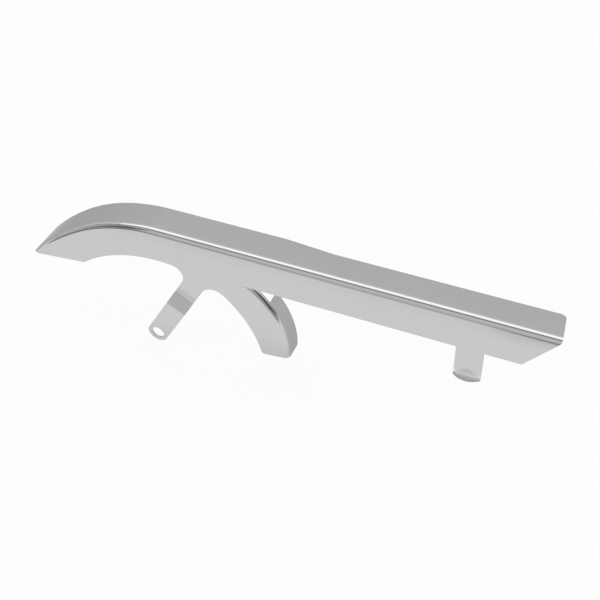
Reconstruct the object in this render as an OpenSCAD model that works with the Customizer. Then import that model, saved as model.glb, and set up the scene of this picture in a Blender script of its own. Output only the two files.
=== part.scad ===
// Upper belt guard of a motorcycle: one pressed, folded and chromed steel sheet.
// The origin is the centre of the front bolt hole. +X runs back along the straight top,
// +Y goes inboard over the belt and +Z is up.
// Side view shapes are drawn as [x, z] and stood up by side().

/* [Sheet] */
// Thickness of the steel sheet
sheet_t = 2; // [1.5:0.25:2.5]
// Outer radius of the folds along the top and along the leg
bend_r = 4.8; // [4:0.2:6]

/* [Top flange] */
// Height of the top face above the bolt hole
top_z = 118; // [112:1:126]
// Distance from the bolt hole back to the rear end of the top
tail_x = 362.5; // [330:0.5:400]
// Width of the top over the front of the belt
front_w = 33.2; // [31:0.2:38]
// Width of the top over the rear of the belt
rear_w = 29.8; // [26:0.2:30.6]
// Where the top starts to narrow, behind the bolt hole
taper_x = 120; // [100:1:160]
// Length over which the top narrows
taper_l = 45; // [20:1:80]
// Radius of the rear inboard corner
tail_corner_r = 6; // [2:0.5:10]
// Angle of the rear end of the top, off square
tail_skew = 6; // [0:1:12]

/* [Front hump] */
// Where the straight top starts to curve down, from the bolt hole
crown_x = 5.8; // [-5:0.2:15]
// Radius of the curve behind the nose
crown_r = 166.4; // [150:0.2:180]
// Angle over which that curve turns
crown_a = 30.853; // [25:0.001:36]
// Flatter radius of the nose
nose_r = 241; // [200:1:300]
// Depth of the side from the top face to the arched edge under the hump
hump_h = 34.4; // [30:0.2:40]
// Where the lower edge of the nose starts, from the bolt hole
nose_x = -77; // [-84:0.5:-70]
// Angle at which that edge falls towards the tip
nose_a = 6.2; // [2:0.2:10]
// Angle by which the end of the top rises towards its inboard edge
nose_skew = 10; // [0:1:14]
// Radius of the corner between that edge and the arch
nose_corner_r = 5; // [2:0.5:8]

/* [Side plate] */
// Height of the side from the top face to the straight lower edge
side_h = 36.6; // [34:0.2:42]
// Angle of the rear end of the side, from upright
tail_a = 38; // [20:1:45]
// Radius of its lower rear corner
heel_r = 3; // [1:0.5:6]

/* [Strap] */
// Width of the strap that holds the front of the guard
strap_w = 20; // [17:0.5:24]
// Diameter of the bolt hole
hole_d = 12.7; // [8:0.1:14]
// Angle at which the strap rises to the side plate
strap_a = 58.675; // [54:0.005:63]
// Offset of the strap outboard of the side plate
joggle_y = 11.3; // [8:0.1:14]
// Distance from the bolt hole to the middle of the joggle
joggle_l = 50.3; // [42:0.1:54]
// Steepness of the joggle
joggle_a = 60; // [40:1:70]
// Inside radius of the two folds of the joggle
joggle_r = 1; // [0.5:0.25:2]
// Radius between the arch and the strap
arch_fillet_r = 11.5; // [6:0.5:14]

/* [Leg] */
// Centre of the outer curve of the leg, behind the bolt hole
leg_x = 40; // [36:0.5:46]
// Height of that centre above the bolt hole
leg_z = 11.7; // [6:0.1:16]
// Radius of the outer curve of the leg
leg_r = 91; // [88:0.5:96]
// Centre of the inner curve of the leg, from the bolt hole
leg_in_x = -3; // [-6:0.5:2]
// Height of that centre
leg_in_z = -18; // [-22:0.5:-14]
// Radius of the inner curve of the leg
leg_in_r = 108; // [104:0.5:110]
// Radius between the strap and the leg
fork_r = 14; // [10:0.5:16]
// Width of the flange along the leg
leg_w = 19.4; // [12:0.2:26]
// Angle of the square top end of that flange
leg_top_a = 36; // [30:1:42]
// Gap between the top of its fold and the lower edge of the side plate
leg_relief = 0.5; // [0.3:0.1:3]
// Height of the lower end of the leg above the bolt hole
leg_end_z = 4.2; // [0:0.2:10]
// Slope of that end
leg_end_a = 7; // [0:0.5:12]
// Radius of its front corner
leg_corner_r = 3; // [1:0.5:6]

/* [Rear tab] */
// Front edge of the tab, behind the bolt hole
tab_x = 281.8; // [230:0.2:290]
// Width of the tab
tab_w = 23.3; // [16:0.1:30]
// Length of the tab below the side plate, to the sole of its foot
tab_l = 32.4; // [20:0.2:45]
// Reach of the foot outboard of the tab
foot_y = 5.2; // [3:0.1:8]
// Inside radius of the fold at the foot
foot_bend_r = 1; // [0.5:0.25:2]

/* [Hidden] */
$fn = 96;
// Overlap of solids that are fused, and overshoot of cutting shapes
lap = 1;
over = 120;
// Rounded corners stand over the edges they run into by this much, so the two cross cleanly
ease = 0.005;
chrome = [0.78, 0.79, 0.8];

function dir(a) = [cos(a), sin(a)];
// Distance along direction u from point q to the circle of radius rho about c, on its far side
function reach(q, u, c, rho) =
    let (d = q - c, b = d * u)
    -b + sqrt(b * b - d * d + rho * rho);

// Faces of the sheet in plan: the strap is centred on the bolt hole's middle
plate_y = joggle_y - sheet_t / 2;
flange_y = plate_y + bend_r;
low_z = top_z - side_h;

crown_c = [crown_x, top_z - crown_r];
arch_r = crown_r - hump_h;
// Lower edge of the nose, which starts on the arch
nose_p = [nose_x, crown_c.y + sqrt(pow(arch_r, 2) - pow(nose_x - crown_x, 2))];
nose_u = dir(nose_a);
nose_turn = 26;

strap_u = dir(strap_a);
strap_n = dir(strap_a + 90);
// Run of the joggle along the strap, from its two folds and the slope between them
joggle_m = joggle_r + sheet_t / 2;
joggle_slope = (joggle_y - 2 * joggle_m * (1 - cos(joggle_a))) / sin(joggle_a);
joggle_run = 2 * joggle_m * sin(joggle_a) + joggle_slope * cos(joggle_a);
root_l = joggle_l + joggle_run / 2 + lap;

leg_c = [leg_x, leg_z];
leg_in_c = [leg_in_x, leg_in_z];
leg_end_p = [leg_x + leg_r, leg_end_z];
leg_end_u = dir(leg_end_a);
leg_reach_a = 75;

foot_z = low_z - tab_l;
foot_fold_z = foot_z + sheet_t + foot_bend_r;

// Stands a side view up between two distances inboard
module side(y0, y1) {
    translate([0, y1, 0]) rotate([90, 0, 0]) linear_extrude(y1 - y0) children();
}

// Turns a cross-section, with its outer face at 0, around c at radius r
module swept(c, r, a0, a1) {
    translate([c.x, 0, c.y]) rotate([90, 0, 0]) rotate([0, 0, a0])
        rotate_extrude(angle = a1 - a0) translate([r, 0]) rotate(-90) children();
}

// Half plane to the left of the line through p along u
module half_plane(p, u, size) {
    n = [-u.y, u.x];
    polygon([p - u * size, p + u * size, p + (u + n) * size, p + (n - u) * size]);
}

// Wedge outside the corner between two tangent points of a circle about c
module wedge(c, t1, t2) {
    polygon([c, 2 * t1 - c, c + 3 * (t1 + t2 - 2 * c), 2 * t2 - c]);
}

// Rounds that corner of a shape with radius r
module round_off(c, r, t1, t2) {
    difference() {
        children();
        wedge(c, t1, t2);
    }
    translate(c) circle(r + ease);
}

// Cuts that corner off a shape with radius r
module corner_cut(c, r, t1, t2) {
    difference() {
        wedge(c, t1, t2);
        translate(c) circle(r + ease);
    }
}

// Open bay beside the strap, inside a circle, with its upper corner rounded
module bay(c, rho, n, r) {
    q = n * (strap_w / 2 + r);
    m = q + strap_u * reach(q, strap_u, c, rho - r);
    round_off(m, r, m - n * r, c + (m - c) * rho / (rho - r))
        intersection() {
            translate(c) circle(rho);
            half_plane(n * strap_w / 2, n == strap_n ? strap_u : -strap_u, 2 * rho);
        }
}

// Everything below the nose, and the corner where it meets the arch
module nose_cut() {
    r = nose_corner_r;
    q = nose_p + dir(nose_a + 90) * r;
    m = q - nose_u * reach(q, -nose_u, crown_c, arch_r + r);
    half_plane(nose_p - nose_u * over / 3, -nose_u, over / 2);
    corner_cut(m, r, m - dir(nose_a + 90) * r, crown_c + (m - crown_c) * arch_r / (arch_r + r));
}

// Everything below the end of the leg, and its front corner
module leg_end_cut() {
    r = leg_corner_r;
    q = leg_end_p + dir(leg_end_a + 90) * r;
    m = q + leg_end_u * reach(q, leg_end_u, leg_in_c, leg_in_r + r);
    half_plane(leg_end_p, -leg_end_u, over);
    corner_cut(m, r, m - dir(leg_end_a + 90) * r, leg_in_c + (m - leg_in_c) * leg_in_r / (leg_in_r + r));
}

// Everything behind the slanted rear end of the side, and its lower corner
module tail_cut() {
    start_z = top_z - bend_r / 2;
    m = [tail_x - (start_z - low_z - heel_r) * tan(tail_a) - heel_r / cos(tail_a), low_z + heel_r];
    half_plane([tail_x, start_z], -dir(90 - tail_a), over);
    corner_cut(m, heel_r, [m.x, low_z], m + dir(-tail_a) * heel_r);
}

// Everything beyond the round end of the strap
module strap_end_cut() {
    difference() {
        half_plane([0, 0], strap_n, strap_w);
        circle(strap_w / 2 + ease);
    }
}

// Fold from a flat web into a flange, drawn as [y, height] with its outer face at 0
module fold_section(web) {
    translate([flange_y, -bend_r]) intersection() {
        difference() {
            circle(bend_r);
            circle(bend_r - sheet_t);
        }
        translate([-bend_r, 0]) square(bend_r);
    }
    translate([plate_y, -bend_r - web]) square([sheet_t, web]);
}

// The flange beyond that fold, out to a width from the web's face
module flange_section(w) {
    translate([flange_y, -sheet_t]) square([w - bend_r, sheet_t]);
}

// Straight top in plan, narrower at the rear, with a skewed and rounded end
module top_plan() {
    front_y = plate_y + front_w;
    rear_y = plate_y + rear_w;
    end_x = tail_x - (rear_w - bend_r) * tan(tail_skew);
    m = [tail_x - (rear_w - bend_r - tail_corner_r) * tan(tail_skew)
         - tail_corner_r / cos(tail_skew), rear_y - tail_corner_r];
    round_off(m, tail_corner_r, [m.x, rear_y], m + dir(tail_skew) * tail_corner_r)
        polygon([
            [crown_x, flange_y], [tail_x, flange_y], [end_x, rear_y],
            [taper_x + taper_l, rear_y], [taper_x, front_y], [crown_x, front_y]
        ]);
}

// Straight part: the top, its fold and the side below it
module straight_top() {
    translate([0, 0, top_z - sheet_t]) linear_extrude(sheet_t) top_plan();
    translate([crown_x, 0, top_z]) rotate([90, 0, 90]) linear_extrude(tail_x - crown_x)
        fold_section(side_h - bend_r);
}

// Half space below the end of the top at the nose, which rises inboard from the middle of the fold
module nose_end_cut() {
    translate([nose_p.x, plate_y + 0.7 * bend_r, nose_p.y]) rotate([nose_skew, -nose_a, 0])
        translate([-over, -over, -over]) cube([over, 2 * over, over]);
}

// Curved part: both curves are turned from the plane in which they meet
module hump() {
    web = hump_h + nose_corner_r - bend_r;
    difference() {
        translate([crown_c.x, 0, crown_c.y]) rotate([0, -crown_a, 0]) {
            mirror([1, 0, 0]) swept([0, 0], crown_r, 90, 90 + crown_a + 1) {
                fold_section(web);
                flange_section(front_w);
            }
            swept([0, crown_r - nose_r], nose_r, 90, 90 + nose_turn) {
                fold_section(web);
                flange_section(front_w);
            }
        }
        translate([crown_x, -over, -over]) cube(3 * over);
        nose_end_cut();
    }
}

// Root of the strap and the leg: one round plate that the bays are cut from
module leg_plate() {
    side(plate_y, plate_y + sheet_t) difference() {
        translate(leg_c) circle(leg_r - bend_r);
        rotate(strap_a) translate([root_l - 2 * over, -strap_w / 2 - 2 * lap])
            square([2 * over, strap_w + 4 * lap]);
    }
}

// Flange that stiffens the leg, and its fold, which runs up to the side plate
module leg_flange() {
    difference() {
        swept(leg_c, leg_r, -90, leg_reach_a) fold_section(lap);
        translate([leg_x, plate_y - lap, low_z - leg_relief]) cube([leg_r + lap, bend_r + 2 * lap, leg_r]);
    }
    swept(leg_c, leg_r, -90, leg_top_a) flange_section(leg_w);
}

// Everything under the strap's inboard face, drawn along the strap as [length, y]
module under_strap() {
    n = dir(joggle_a + 90);
    r = joggle_r + sheet_t;
    low = [joggle_l, joggle_m] - [joggle_run / 2, 0];
    high = [joggle_l, joggle_y - joggle_m] + [joggle_run / 2, 0];
    round_off(high, r, high + [0, r], high + n * r)
        intersection() {
            half_plane([joggle_l, joggle_y / 2] + n * sheet_t / 2, -dir(joggle_a), 2 * over);
            translate([-over, -over]) square([3 * over, over + joggle_y + sheet_t / 2]);
        }
    translate([-over, -over]) square([3 * over, over + sheet_t / 2]);
    difference() {
        polygon([low, low - [0, 2 * joggle_r], low - 2 * n * joggle_r]);
        translate(low) circle(joggle_r + ease);
    }
}

// Sheet of the strap: what is under its inboard face and, turned about the joggle, over the other
module strap_blank() {
    rotate([0, -strap_a, 0]) translate([0, 0, -strap_w / 2 - lap])
        linear_extrude(strap_w + 2 * lap) intersection() {
            under_strap();
            translate([2 * joggle_l, joggle_y]) rotate(180) under_strap();
            translate([-strap_w, -over]) square([strap_w + root_l + lap, 2 * over]);
        }
}

// Rear tab, and the foot at its end drawn as [y, z] and rounded in plan
module rear_tab() {
    fold_y = plate_y - foot_bend_r;
    edge_y = foot_y - foot_bend_r / 2;
    edge_r = (pow(tab_w / 2, 2) + pow(edge_y, 2)) / (2 * edge_y);
    side(plate_y, plate_y + sheet_t)
        translate([tab_x, foot_fold_z]) square([tab_w, low_z + lap - foot_fold_z]);
    intersection() {
        translate([tab_x, 0, 0]) rotate([90, 0, 90]) linear_extrude(tab_w) {
            translate([fold_y, foot_fold_z]) intersection() {
                difference() {
                    circle(foot_bend_r + sheet_t);
                    circle(foot_bend_r);
                }
                translate([0, -foot_bend_r - sheet_t]) square(foot_bend_r + sheet_t);
            }
            translate([plate_y - foot_y, foot_z]) square([foot_y - foot_bend_r, sheet_t]);
            translate([plate_y, foot_fold_z]) square([sheet_t, lap]);
        }
        translate([tab_x + tab_w / 2, plate_y - foot_y + edge_r, foot_z - lap])
            cylinder(r = edge_r, h = tab_l);
    }
}

module belt_guard() {
    color(chrome) {
        difference() {
            union() {
                straight_top();
                hump();
                leg_plate();
                leg_flange();
                strap_blank();
            }
            side(-over, over) {
                bay(crown_c, arch_r, strap_n, arch_fillet_r);
                bay(leg_in_c, leg_in_r, -strap_n, fork_r);
                strap_end_cut();
                nose_cut();
                leg_end_cut();
                tail_cut();
            }
            rotate([90, 0, 0]) cylinder(d = hole_d, h = 2 * sheet_t, center = true);
        }
        rear_tab();
    }
}

belt_guard();
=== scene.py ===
import math
import bmesh
import bpy
from mathutils import Matrix, Vector


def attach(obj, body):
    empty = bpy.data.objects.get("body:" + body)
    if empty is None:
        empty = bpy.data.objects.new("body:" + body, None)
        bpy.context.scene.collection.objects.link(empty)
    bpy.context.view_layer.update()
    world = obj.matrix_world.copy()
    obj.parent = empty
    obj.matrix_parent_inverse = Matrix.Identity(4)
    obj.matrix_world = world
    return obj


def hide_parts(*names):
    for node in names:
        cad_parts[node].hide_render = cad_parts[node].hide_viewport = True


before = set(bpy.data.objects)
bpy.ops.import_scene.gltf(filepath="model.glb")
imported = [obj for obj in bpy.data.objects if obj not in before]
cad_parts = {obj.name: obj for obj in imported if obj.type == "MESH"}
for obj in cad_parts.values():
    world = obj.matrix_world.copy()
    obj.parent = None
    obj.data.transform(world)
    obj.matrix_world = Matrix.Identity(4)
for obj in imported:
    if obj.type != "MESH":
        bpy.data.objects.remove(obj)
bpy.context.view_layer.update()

print("frame loaded")

# The guard, in millimetres and degrees, with the bolt hole's centre as origin: +X back, +Y inboard, +Z up.
# hinge is the depth from which the nose is cut on the slant, edgeRow the width left for the rounded rear
# corner, and lipLeast keeps the corners of the foot's lip clear of its fold
guard = {
    "sheet": 2.0, "edgeRounding": 0.4, "roundingSegments": 3, "roundedOver": 50.0, "faceWeight": 80,
    "cornerSteps": 8, "filletSteps": 24, "arcSteps": 40,
    "bend": 4.8, "hinge": 3.36, "foldSteps": 12, "slackTurn": 8.0, "slackRadius": 20.0, "slackSteps": 4,
    "topZ": 118.0, "tailX": 362.5, "frontWidth": 33.2, "rearWidth": 29.8, "topRows": 7, "edgeRow": 4.0,
    "taperFrom": 120.0, "taperTo": 165.0, "tailCorner": 5.4, "tailSkew": 6.0,
    "crownX": 5.8, "crownRadius": 166.4, "crownAngle": 30.853, "crownSteps": 48,
    "noseRadius": 241.0, "noseSteps": 36, "noseX": -77.0, "noseSlope": 6.2, "noseSkew": 10.0, "noseCorner": 5.0,
    "noseTurn": 16.0, "humpDepth": 34.4, "archSteps": 56, "sideDepth": 36.6, "tailSlant": 38.0, "heel": 3.0,
    "strapWidth": 20.0, "strapAngle": 58.675, "strapEndSteps": 32, "hole": 12.7, "holeSteps": 48,
    "archFillet": 11.5,
    "joggle": 11.3, "joggleAt": 50.3, "joggleAngle": 60.0, "joggleRadius": 1.0, "joggleSteps": 6,
    "legCentre": (40.0, 11.7), "legRadius": 91.0, "legInner": (-3.0, -18.0), "legInnerRadius": 108.0,
    "forkFillet": 14.0, "legWidth": 19.4, "legTop": 36.0, "legRelief": 0.5, "legUpperSteps": 16,
    "legEndZ": 4.2, "legEndSlope": 7.0, "legCorner": 3.0,
    "tabX": 281.8, "tabWidth": 23.3, "tabLength": 32.4, "tabSteps": 20,
    "footReach": 5.2, "footBend": 1.0, "footSteps": 6, "lipLeast": 0.05,
}


def flat(angle):
    # unit vector at an angle in the side view
    return Vector((math.cos(math.radians(angle)), 0, math.sin(math.radians(angle))))


def spot(x, z, y=0.0):
    return Vector((x, y, z))


def angleOf(v):
    return math.degrees(math.atan2(v.z, v.x))


def reach(start, along, centre, radius):
    # distance from start, along a direction, to the far side of a circle
    d = start - centre
    b = d.dot(along)
    return -b + math.sqrt(b * b - d.dot(d) + radius * radius)


class Pen:
    # draws a chain of vertices with lines and spun arcs
    def __init__(self, bm, y):
        self.bm, self.y, self.verts = bm, y, []

    def to(self, p):
        v = self.bm.verts.new((p.x, self.y, p.z))
        if self.verts:
            self.bm.edges.new((self.verts[-1], v))
        self.verts.append(v)
        return v

    def arc(self, centre, turn, steps):
        # turn is positive from +X towards +Z
        count = len(self.bm.verts)
        bmesh.ops.spin(self.bm, geom=[self.verts[-1]], cent=(centre.x, self.y, centre.z), axis=(0, 1, 0),
                       angle=-math.radians(turn), steps=steps, dvec=(0, 0, 0), use_duplicate=False)
        self.bm.verts.ensure_lookup_table()
        self.verts += [self.bm.verts[i] for i in range(count, len(self.bm.verts))]


def pullRow(bm, verts):
    # pulls a new row out of a chain of vertices and returns it in the same order
    edges = [next(e for e in a.link_edges if b in e.verts) for a, b in zip(verts, verts[1:])]
    made = bmesh.ops.extrude_edge_only(bm, edges=edges)["geom"]
    fresh = {e for e in made if isinstance(e, bmesh.types.BMVert)}
    return [next(e.other_vert(v) for e in v.link_edges if e.other_vert(v) in fresh) for v in verts]


def foldRows(bm, chain, place, g, slackTurn):
    # turns the sheet inboard along a chain; place puts a row at a height over the side's edge and at a depth;
    # the press leaves the last slackTurn degrees on a slacker radius
    ease = math.radians(90 - slackTurn)
    tight = (g["bend"] - g["slackRadius"] * (1 - math.sin(ease))) / math.sin(ease)
    row = chain
    for k in range(1, g["foldSteps"] + 1):
        turn = ease * k / g["foldSteps"]
        row = pullRow(bm, row)
        place(row, tight * math.sin(turn), tight * (1 - math.cos(turn)))
    slackSteps = g["slackSteps"] if slackTurn else 0
    for k in range(1, slackSteps + 1):
        turn = ease + (math.pi / 2 - ease) * k / slackSteps
        row = pullRow(bm, row)
        place(row, g["bend"] - g["slackRadius"] * (1 - math.sin(turn)),
              tight * (1 - math.cos(ease)) + g["slackRadius"] * (math.cos(ease) - math.cos(turn)))
    return row


def drawSide(bm, g):
    # the flat side with its strap root, leg and tab; returns the chains that are folded on
    plateY = g["joggle"] - g["sheet"] / 2
    lowZ, foldZ = g["topZ"] - g["sideDepth"], g["topZ"] - g["bend"]
    slant = math.tan(math.radians(g["tailSlant"]))
    slantZ = g["topZ"] - g["bend"] / 2
    crown = spot(g["crownX"], g["topZ"] - g["crownRadius"])
    noseCentre = crown - flat(90 + g["crownAngle"]) * (g["noseRadius"] - g["crownRadius"])
    archRadius = g["crownRadius"] - g["humpDepth"]
    noseStart = spot(g["noseX"], crown.z + math.sqrt(archRadius ** 2 - (g["noseX"] - crown.x) ** 2))
    noseAlong, noseUp = flat(g["noseSlope"]), flat(g["noseSlope"] + 90)
    strapAlong, strapLeft = flat(g["strapAngle"]), flat(g["strapAngle"] + 90)
    halfStrap = g["strapWidth"] / 2
    legCentre, legInner = spot(*g["legCentre"]), spot(*g["legInner"])
    legEdge = g["legRadius"] - g["bend"]
    legEnd = spot(legCentre.x + g["legRadius"], g["legEndZ"])
    legEndAlong, legEndUp = flat(g["legEndSlope"]), flat(g["legEndSlope"] + 90)

    def placeTop(row, height, depth):
        noseRadius = g["noseRadius"] - g["bend"] + height
        start = noseStart + noseUp * math.tan(math.radians(g["noseSkew"])) * max(0, depth - g["hinge"])
        tip = start - noseAlong * reach(start, -noseAlong, noseCentre, noseRadius)
        tipAngle, joint = angleOf(tip - noseCentre), 90 + g["crownAngle"]
        for i, v in enumerate(row):
            if i < g["noseSteps"]:
                p = noseCentre + flat(tipAngle + (joint - tipAngle) * i / g["noseSteps"]) * noseRadius
            elif i <= g["noseSteps"] + g["crownSteps"]:
                turned = g["crownAngle"] * (1 - (i - g["noseSteps"]) / g["crownSteps"])
                p = crown + flat(90 + turned) * (g["crownRadius"] - g["bend"] + height)
            else:
                x = (g["taperFrom"], g["taperTo"], g["tailX"])[i - g["noseSteps"] - g["crownSteps"] - 1]
                if x == g["tailX"]:
                    x -= max(0, slantZ - foldZ - height) * slant
                    x -= max(0, min(depth, g["rearWidth"]) - g["bend"]) * math.tan(math.radians(g["tailSkew"]))
                p = spot(x, foldZ + height)
            v.co = (p.x, plateY + depth, p.z)

    def placeLeg(row, height, depth):
        radius = legEdge + height
        inside = legEnd - legEndAlong * g["legRadius"] / 2
        low = inside + legEndAlong * reach(inside, legEndAlong, legCentre, radius)
        top = math.degrees(math.asin((lowZ - g["legRelief"] - legCentre.z) / radius))
        end = angleOf(low - legCentre)
        upper = len(row) - 1 - g["arcSteps"]
        for i, v in enumerate(row):
            if i < upper:
                angle = top + (g["legTop"] - top) * i / upper
            else:
                angle = g["legTop"] + (end - g["legTop"]) * (i - upper) / g["arcSteps"]
            p = legCentre + flat(angle) * radius
            v.co = (p.x, plateY + depth, p.z)

    pen = Pen(bm, plateY)
    pen.to(noseCentre + flat(90 + g["crownAngle"] + g["noseTurn"]) * (g["noseRadius"] - g["bend"]))
    pen.arc(noseCentre, -g["noseTurn"], g["noseSteps"])
    pen.arc(crown, -g["crownAngle"], g["crownSteps"])
    for x in (g["taperFrom"], g["taperTo"], g["tailX"]):
        pen.to(spot(x, foldZ))
    topChain = list(pen.verts)
    placeTop(topChain, 0, 0)
    # rear end and heel
    heelIn = (slantZ - lowZ - g["heel"]) * slant + g["heel"] / math.cos(math.radians(g["tailSlant"]))
    heelAt = spot(g["tailX"] - heelIn, lowZ + g["heel"])
    pen.to(heelAt + flat(-g["tailSlant"]) * g["heel"])
    pen.arc(heelAt, -(90 - g["tailSlant"]), g["cornerSteps"])
    # lower edge with the tab
    tabRear, tabEnd = g["tabX"] + g["tabWidth"], lowZ - g["tabLength"] + g["sheet"] + g["footBend"]
    pen.to(spot(tabRear, lowZ))
    footChain = [pen.to(spot(tabRear - g["tabWidth"] * i / g["tabSteps"], tabEnd))
                 for i in range(g["tabSteps"] + 1)]
    pen.to(spot(g["tabX"], lowZ))
    # outer edge of the leg, then its end and front corner
    pen.to(legCentre + flat(math.degrees(math.asin((lowZ - legCentre.z) / legEdge))) * legEdge)
    legFrom = len(pen.verts)
    pen.to(legCentre + flat(g["legTop"] + g["legUpperSteps"]) * legEdge)
    pen.arc(legCentre, -g["legUpperSteps"], g["legUpperSteps"])
    pen.arc(legCentre, -g["legTop"], g["arcSteps"])
    legChain = pen.verts[legFrom:]
    placeLeg(legChain, 0, 0)
    q = legEnd + legEndUp * g["legCorner"]
    m = q + legEndAlong * reach(q, legEndAlong, legInner, g["legInnerRadius"] + g["legCorner"])
    pen.to(m - legEndUp * g["legCorner"])
    pen.arc(m, -((angleOf(-legEndUp) - angleOf(legInner - m)) % 360), g["cornerSteps"])
    legStart = angleOf(m - legInner)
    # fork between leg and strap, the strap's root, then the arch
    q = -strapLeft * (halfStrap + g["forkFillet"])
    fork = q + strapAlong * reach(q, strapAlong, legInner, g["legInnerRadius"] - g["forkFillet"])
    pen.arc(legInner, angleOf(fork - legInner) - legStart, g["arcSteps"])
    pen.arc(fork, (angleOf(strapLeft) - angleOf(fork - legInner)) % 360, g["filletSteps"])
    joggleMid = g["joggleRadius"] + g["sheet"] / 2
    joggleTurn = math.radians(g["joggleAngle"])
    joggleSlope = (g["joggle"] - 2 * joggleMid * (1 - math.cos(joggleTurn))) / math.sin(joggleTurn)
    joggleRun = 2 * joggleMid * math.sin(joggleTurn) + joggleSlope * math.cos(joggleTurn)
    rootAt = g["joggleAt"] + joggleRun / 2
    root = [pen.to(strapAlong * rootAt + strapLeft * side * halfStrap) for side in (-1, 1)]
    q = strapLeft * (halfStrap + g["archFillet"])
    arch = q + strapAlong * reach(q, strapAlong, crown, archRadius - g["archFillet"])
    pen.to(arch - strapLeft * g["archFillet"])
    pen.arc(arch, (angleOf(arch - crown) - angleOf(-strapLeft)) % 360, g["filletSteps"])
    q = noseStart + noseUp * g["noseCorner"]
    m = q - noseAlong * reach(q, -noseAlong, crown, archRadius + g["noseCorner"])
    pen.arc(crown, angleOf(m - crown) - angleOf(arch - crown), g["archSteps"])
    pen.arc(m, -((angleOf(crown - m) - angleOf(-noseUp)) % 360), g["cornerSteps"])
    bm.edges.new((pen.verts[-1], pen.verts[0]))
    bmesh.ops.contextual_create(bm, geom=list(dict.fromkeys(e for v in pen.verts for e in v.link_edges)))
    return plateY, topChain, placeTop, legChain, placeLeg, footChain, root, joggleRun


def drawStrap(bm, root, run, g):
    # from its root the strap goes down the joggle and ends round about the bolt hole
    along, left = flat(g["strapAngle"]), flat(g["strapAngle"] + 90)
    half, turn = g["strapWidth"] / 2, math.radians(g["joggleAngle"])
    outY, touching = -g["sheet"] / 2, 0.0001
    upper = along * (g["joggleAt"] + run / 2) + Vector((0, g["joggle"] + outY - g["joggleRadius"], 0))
    lower = along * (g["joggleAt"] - run / 2) + Vector((0, g["joggleRadius"] + g["sheet"] / 2, 0))
    row = root
    for centre, start, end in ((upper, 0, 1), (lower, 1, 0)):
        radius = g["joggleRadius"] if centre is upper else -(g["joggleRadius"] + g["sheet"])
        for k in range(0 if centre is lower else 1, g["joggleSteps"] + 1):
            a = turn * (start + (end - start) * k / g["joggleSteps"])
            row = pullRow(bm, row)
            p = centre + (Vector((0, 1, 0)) * math.cos(a) - along * math.sin(a)) * radius
            for v, side in zip(row, (-1, 1)):
                v.co = p + left * side * half
    # flat end: outline, hole and fill
    pen = Pen(bm, outY)
    pen.to(-left * half)
    pen.arc(Vector((0, 0, 0)), -180, g["strapEndSteps"])
    hole = Pen(bm, outY)
    hole.to(left * g["hole"] / 2)
    hole.arc(Vector((0, 0, 0)), 360 / g["holeSteps"] - 360, g["holeSteps"] - 1)
    bm.edges.new((hole.verts[-1], hole.verts[0]))
    bm.edges.new((row[0], pen.verts[0]))
    bm.edges.new((row[1], pen.verts[-1]))
    rim = [e for v in pen.verts + hole.verts + row for e in v.link_edges
           if all(abs(w.co.y - outY) < touching for w in e.verts)]
    bmesh.ops.triangle_fill(bm, use_beauty=True, edges=list(dict.fromkeys(rim)))


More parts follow.
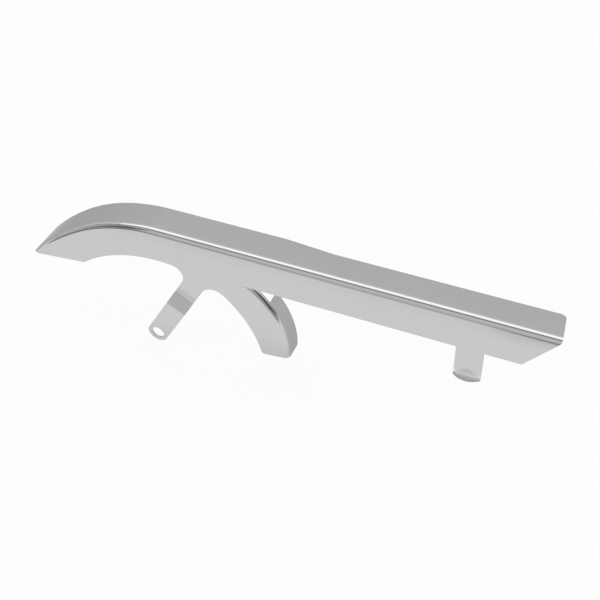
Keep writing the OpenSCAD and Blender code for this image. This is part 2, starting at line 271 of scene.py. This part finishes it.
def makeGuard(g):
    millimetre = 0.001
    bm = bmesh.new()
    plateY, topChain, placeTop, legChain, placeLeg, footChain, root, run = drawSide(bm, g)
    # top: fold, flange and the rounded rear corner
    row = foldRows(bm, topChain, placeTop, g, g["slackTurn"])
    start = row[0].co.y - plateY
    for k in range(1, g["topRows"]):
        row = pullRow(bm, row)
        placeTop(row, g["bend"], start + (g["rearWidth"] - g["edgeRow"] - start) * k / (g["topRows"] - 1))
    edge = pullRow(bm, row)
    placeTop(edge, g["bend"], g["frontWidth"])
    for v in edge[-2:]:
        v.co.y = plateY + g["rearWidth"]
    bmesh.ops.bevel(bm, geom=[edge[-1]], affect="VERTICES", offset=g["tailCorner"], offset_type="OFFSET",
                    segments=g["cornerSteps"], profile=0.5, material=-1)
    # leg: the fold along all of it, the flange from its square top end down
    row = foldRows(bm, legChain, placeLeg, g, 0)[-1 - g["arcSteps"]:]
    edge = pullRow(bm, row)
    placeLeg(edge, g["bend"], g["legWidth"])
    # foot: folded outboard, with an edge rounded in plan
    bend = g["footBend"]
    row = footChain
    for k in range(1, g["footSteps"] + 1):
        a = math.pi / 2 * k / g["footSteps"]
        row = pullRow(bm, row)
        for v in row:
            v.co.y = plateY - bend + bend * math.cos(a)
            v.co.z = footChain[0].co.z - bend * math.sin(a)
    row = pullRow(bm, row)
    deep = g["footReach"] - bend / 2
    radius = ((g["tabWidth"] / 2) ** 2 + deep ** 2) / (2 * deep)
    for v in row:
        off = v.co.x - g["tabX"] - g["tabWidth"] / 2
        lip = plateY - g["footReach"] + radius - math.sqrt(radius ** 2 - off ** 2)
        v.co.y = min(plateY - bend - g["lipLeast"], lip)
    drawStrap(bm, root, run, g)
    bmesh.ops.remove_doubles(bm, verts=bm.verts[:], dist=millimetre)
    bmesh.ops.recalc_face_normals(bm, faces=bm.faces[:])
    side = max(bm.faces, key=lambda f: f.calc_area())
    if side.normal.y > 0:
        bmesh.ops.reverse_faces(bm, faces=bm.faces[:])
    bmesh.ops.scale(bm, verts=bm.verts[:], vec=(millimetre,) * 3)
    for f in bm.faces:
        f.smooth = True
    mesh = bpy.data.meshes.new("beltGuard")
    bm.to_mesh(mesh)
    bm.free()
    piece = bpy.data.objects.new("beltGuard", mesh)
    bpy.context.scene.collection.objects.link(piece)
    wall = piece.modifiers.new("sheet", "SOLIDIFY")
    wall.thickness, wall.offset, wall.use_even_offset = g["sheet"] * millimetre, -1, True
    edges = piece.modifiers.new("polishedEdges", "BEVEL")
    edges.width, edges.segments = g["edgeRounding"] * millimetre, g["roundingSegments"]
    edges.limit_method, edges.angle_limit = "ANGLE", math.radians(g["roundedOver"])
    shade = piece.modifiers.new("flatFaces", "WEIGHTED_NORMAL")
    shade.mode, shade.weight = "FACE_AREA", g["faceWeight"]
    return piece


class Wiring:
    # puts nodes into a shader tree; a value is a number, a vector or the socket that gives it
    def __init__(self, tree):
        self.nodes, self.links = tree.nodes, tree.links

    def feed(self, socket, value):
        if isinstance(value, bpy.types.NodeSocket):
            self.links.new(value, socket)
        else:
            socket.default_value = value

    def add(self, kind, values=None, **settings):
        made = self.nodes.new("ShaderNode" + kind)
        for name, setting in settings.items():
            setattr(made, name, setting)
        for name, value in (values or {}).items():
            self.feed(made.inputs[name], value)
        return made

    def maths(self, operation, *values):
        return self.add("Math", dict(enumerate(values)), operation=operation).outputs[0]

    def remap(self, value, span, to=(0, 1), **settings):
        # carries a span of the value onto another, and holds it at the ends
        values = {"Value": value, "From Min": span[0], "From Max": span[1], "To Min": to[0], "To Max": to[1]}
        return self.add("MapRange", values, **settings).outputs["Result"]

    def mix(self, share, first, second, **settings):
        values = {0: share, 6: first, 7: second}
        return self.add("Mix", values, data_type="RGBA", **settings).outputs[2]

    def greys(self, value, reachOut, stops):
        # a grey ramp for a value from -reachOut to reachOut; the first and last stop stand for these ends
        ramp = self.add("ValToRGB", {"Fac": self.remap(value, (-reachOut, reachOut))})
        for i, (at, tone) in enumerate(stops):
            where = (at / stops[-1][0] + 1) / 2
            elements = ramp.color_ramp.elements
            stop = elements[i] if i < 2 else elements.new(where)
            stop.position, stop.color = where, (tone, tone, tone, 1)
        return ramp.outputs["Color"]


# Chrome plate, in metres: what it mirrors gives it most of its greys, with a faint unevenness of polish; shade
# and light are painted into its colour round the foot and shade along the seam
chrome = {
    "colour": (0.592, 0.599, 0.604, 1), "dim": (0.565, 0.572, 0.579, 1), "grazing": (0.76, 0.76, 0.77, 1),
    "smooth": 0.07, "hazy": 0.12, "cloudScale": 22, "cloudDetail": 4,
    "rippleScale": 9, "rippleDetail": 1, "rippleStrength": 0.04, "rippleHeight": 0.002,
    "footAt": (0.2935, 0.0075, 0.051), "footStretch": (2, 1, 1), "footSpan": (0.0105, 0.0065), "footRough": 0.5,
    # the lip's colour below is painted shade, and the colour of the foot's face over it is painted light
    "lipPaintedShade": (0.41, 0.415, 0.42, 1), "lipY": (0.0101, 0.0092),
    "footPaintedLight": (0.9, 0.905, 0.91, 1), "paintedLightZ": (0.0605, 0.0525),
    "seamX": (0.042, 0.088), "seamZ": (0.0892, 0.081), "seamStart": (0.006, 0.012), "seamEnd": (0.097, 0.088),
    # the seam's darker colour on the next line is painted shade
    "seamSideY": (0.0108, 0.0104), "seamWidth": 0.0016, "seamPaintedShade": (0.53, 0.537, 0.544, 1), "seamDepth": 0.00006,
}


def makeChrome(c):
    mat = bpy.data.materials.new("chromePlate")
    mat.use_nodes = True
    w = Wiring(mat.node_tree)
    place = w.add("TexCoord").outputs["Object"]
    axes = w.add("SeparateXYZ", {0: place}).outputs
    cloud = w.add("TexNoise", {"Vector": place, "Scale": c["cloudScale"],
                               "Detail": c["cloudDetail"]}).outputs["Fac"]
    ripple = w.add("TexNoise", {"Vector": place, "Scale": c["rippleScale"],
                                "Detail": c["rippleDetail"]}).outputs["Fac"]
    # the plating is rougher round the foot's tight fold; painted shade darkens the lip and painted light
    # brightens the face over it, standing in for what they mirror of each other
    fromFoot = w.add("Mapping", {"Vector": place, "Location": c["footAt"], "Scale": c["footStretch"]},
                     vector_type="TEXTURE")
    away = w.add("VectorMath", {0: fromFoot.outputs["Vector"]}, operation="LENGTH").outputs["Value"]
    near = w.remap(away, c["footSpan"])
    paintedShadeOnLip = w.maths("MULTIPLY", near, w.remap(axes["Y"], c["lipY"]))
    paintedLightOverLip = w.maths("MULTIPLY", near, w.remap(axes["Z"], c["paintedLightZ"]))
    polish = w.remap(cloud, (0, 1), (c["smooth"], c["hazy"]))
    rough = w.add("Mix", {0: near, 2: polish, 3: c["footRough"]}).outputs[0]
    tone = w.mix(cloud, c["colour"], c["dim"])
    # painted light on the foot's face over the lip
    tone = w.mix(paintedLightOverLip, tone, c["footPaintedLight"])
    # painted shade on the foot's lip
    tone = w.mix(paintedShadeOnLip, tone, c["lipPaintedShade"])
    # a faint seam, blended before plating, runs along the foot of the hump and down to the leg's fold: a shallow
    # dip in the bump, with painted shade darkening the colour along it
    path = w.remap(axes["X"], c["seamX"], c["seamZ"], interpolation_type="SMOOTHSTEP")
    off = w.maths("ABSOLUTE", w.maths("SUBTRACT", axes["Z"], path))
    seam = w.remap(off, (c["seamWidth"], 0), interpolation_type="SMOOTHSTEP")
    for share in (w.remap(axes["X"], c["seamStart"]), w.remap(axes["X"], c["seamEnd"]),
                  w.remap(axes["Y"], c["seamSideY"]), cloud):
        seam = w.maths("MULTIPLY", seam, share)
    dip = w.maths("MULTIPLY", seam, -c["seamDepth"] / c["rippleHeight"])
    bump = w.add("Bump", {"Height": w.maths("ADD", dip, ripple), "Strength": c["rippleStrength"],
                          "Distance": c["rippleHeight"]})
    shader = w.nodes["Principled BSDF"].inputs
    w.feed(shader["Metallic"], 1)
    w.feed(shader["Specular Tint"], c["grazing"])
    # the seam's painted shade darkens the colour along it
    w.feed(shader["Base Color"], w.mix(seam, tone, c["seamPaintedShade"]))
    w.feed(shader["Roughness"], rough)
    w.feed(shader["Normal"], bump.outputs["Normal"])
    return mat


beltGuard = makeGuard(guard)
beltGuard.data.materials.append(makeChrome(chrome))
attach(beltGuard, "root")
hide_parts("belt_guard")
print("guard made:", len(beltGuard.data.polygons), "faces")

# The studio: a pale floor and a white surround, and the greys that the chrome mirrors in them.
# The floor's greys go by distance in metres, the room's by angle in degrees: height from the front over
# the top, and bearing from the front round to the right
studio = {
    "floorAt": (0.12, 0, -0.0102), "floorSize": 6.0, "paper": 0.86, "paperRough": 0.9, "whiteToCamera": 0.94,
    "mirroredFloor": ((-3.0, 0.62), (-0.5, 0.6), (-0.2, 0.62), (-0.15, 0.78), (-0.1, 1.0), (-0.006, 1.0),
                      (0.01, 0.67), (3.0, 0.65)),
    "mirroredCorner": ((-3.0, 1.0), (-0.6, 1.0), (-0.42, 0.4), (-0.22, 0.36), (-0.185, 1.0), (0.275, 1.0),
                       (0.305, 0.6), (0.8, 0.6), (1.2, 1.0), (3.0, 1.0)), "cornerFrom": (-0.1, -0.13),
    "daylight": 0.72,
    "mirroredRoom": ((-180, 0.66), (-25, 0.62), (0, 0.7), (30, 0.77), (46, 0.76), (66, 0.68), (90, 0.72),
                     (119, 1.1), (127, 0.82), (131, 0.76), (134, 0.71), (137, 0.68), (180, 0.65)),
    "lampGap": ((-180, 1.0), (62, 1.0), (67, 0.42), (83, 0.4), (87, 1.0), (180, 1.0)), "gapTo": (0.15, 0.3),
    "mirroredAround": ((-180, 1.0), (-70, 1.0), (-57, 0.5), (-45, 0.24), (-38, 0.16), (-34, 0.5), (-31, 1.0),
                       (18, 1.0), (28, 0.78), (37, 0.55), (46, 0.2), (58, 0.1), (70, 0.18), (83, 0.5),
                       (96, 0.5), (109, 0.75), (125, 1.0), (180, 1.0)), "aroundTop": (0.52, 0.64),
    "secondMirror": (1.6, 1.6, 1.6, 1), "white": (1, 1, 1, 1),
    "boxAt": (-0.36, 0.33, 1.15), "boxSize": (1.72, 0.7), "boxPower": 2.4,
}


def lightUp(w, rays, mirrored, s):
    # what the chrome mirrors of itself is lit up again, as in a bright room
    twice = w.maths("GREATER_THAN", rays["Glossy Depth"], 1.5)
    return w.mix(twice, mirrored, s["secondMirror"])


def makeFloor(s):
    half = s["floorSize"] / 2
    bm = bmesh.new()
    bmesh.ops.create_grid(bm, x_segments=1, y_segments=1, size=half)
    bmesh.ops.translate(bm, verts=bm.verts[:], vec=s["floorAt"])
    mesh = bpy.data.meshes.new("floor")
    bm.to_mesh(mesh)
    bm.free()
    floor = bpy.data.objects.new("floor", mesh)
    bpy.context.scene.collection.objects.link(floor)
    mat = bpy.data.materials.new("palePaper")
    mat.use_nodes = True
    w = Wiring(mat.node_tree)
    paper = w.nodes["Principled BSDF"]
    w.feed(paper.inputs["Base Color"], (s["paper"], s["paper"], s["paper"], 1))
    w.feed(paper.inputs["Roughness"], s["paperRough"])
    w.feed(paper.inputs["Specular IOR Level"], 0)
    rays = w.add("LightPath").outputs
    axes = w.add("SeparateXYZ", {0: w.add("TexCoord").outputs["Object"]}).outputs
    tone = w.greys(axes["Y"], half, s["mirroredFloor"])
    corner = w.greys(axes["X"], half, s["mirroredCorner"])
    tone = w.mix(w.remap(axes["Y"], s["cornerFrom"]), tone, corner, blend_type="MULTIPLY")
    glow = w.add("Emission", {"Color": lightUp(w, rays, tone, s)})
    white = w.maths("MULTIPLY", rays["Is Camera Ray"], s["whiteToCamera"])
    toCamera = w.add("MixShader", {0: white, 1: paper.outputs[0], 2: w.add("Emission").outputs[0]})
    toChrome = w.add("MixShader", {0: rays["Is Glossy Ray"], 1: toCamera.outputs[0], 2: glow.outputs[0]})
    w.feed(w.nodes["Material Output"].inputs["Surface"], toChrome.outputs[0])
    floor.data.materials.append(mat)
    return floor


def makeWorld(s):
    # white to the camera and even daylight for everything else; chrome sees a room graded by height
    world = bpy.data.worlds.new("studio")
    bpy.context.scene.world = world
    world.use_nodes = True
    w = Wiring(world.node_tree)
    day = w.nodes["Background"]
    w.feed(day.inputs["Strength"], s["daylight"])
    w.feed(day.inputs["Color"], s["white"])
    rays = w.add("LightPath").outputs
    axes = w.add("SeparateXYZ", {0: w.add("TexCoord").outputs["Generated"]}).outputs
    front = w.maths("MULTIPLY", axes["Y"], -1)
    height = w.maths("ARCTAN2", axes["Z"], front)
    bearing = w.maths("ARCTAN2", axes["X"], front)
    tone = w.greys(height, math.pi, s["mirroredRoom"])
    gap = w.greys(height, math.pi, s["lampGap"])
    gap = w.mix(w.remap(axes["X"], s["gapTo"]), gap, s["white"])
    # the darker corners of the room, up to the softbox
    around = w.greys(bearing, math.pi, s["mirroredAround"])
    around = w.mix(w.remap(axes["Z"], s["aroundTop"]), around, s["white"])
    for darker in (gap, around):
        tone = w.mix(1, tone, darker, blend_type="MULTIPLY")
    room = w.add("Background", {"Color": lightUp(w, rays, tone, s)})
    white = w.add("Background", {"Color": s["white"]})
    toChrome = w.add("MixShader", {0: rays["Is Glossy Ray"], 1: day.outputs[0], 2: room.outputs[0]})
    toCamera = w.add("MixShader", {0: rays["Is Camera Ray"], 1: toChrome.outputs[0], 2: white.outputs[0]})
    w.feed(w.nodes["World Output"].inputs["Surface"], toCamera.outputs[0])


def makeSoftbox(s):
    lamp = bpy.data.lights.new("softbox", "AREA")
    lamp.shape, lamp.size, lamp.size_y = "RECTANGLE", *s["boxSize"]
    lamp.energy = s["boxPower"]
    box = bpy.data.objects.new("softbox", lamp)
    box.location = s["boxAt"]
    bpy.context.scene.collection.objects.link(box)


floor = makeFloor(studio)
makeWorld(studio)
makeSoftbox(studio)
print("studio set")

# Camera at the photo's place
camera = {"at": (0.4007, -0.5396, 0.6799), "right": (0.91812, 0.39512, -0.03056),
          "down": (0.25697, -0.65228, -0.71309), "lens": 60.0, "sensor": 36.0, "clip": (0.01, 20.0)}
right = Vector(camera["right"]).normalized()
up = -Vector(camera["down"]).normalized()
back = right.cross(up).normalized()
up = back.cross(right)
eye = bpy.data.cameras.new("camera")
eye.lens, eye.sensor_width = camera["lens"], camera["sensor"]
eye.clip_start, eye.clip_end = camera["clip"]
view = bpy.data.objects.new("camera", eye)
view.matrix_world = Matrix.Translation(camera["at"]) @ Matrix((right, up, back)).transposed().to_4x4()
bpy.context.scene.collection.objects.link(view)
bpy.context.scene.camera = view

scene = bpy.context.scene
scene.view_settings.view_transform = "Standard"
print("camera set")
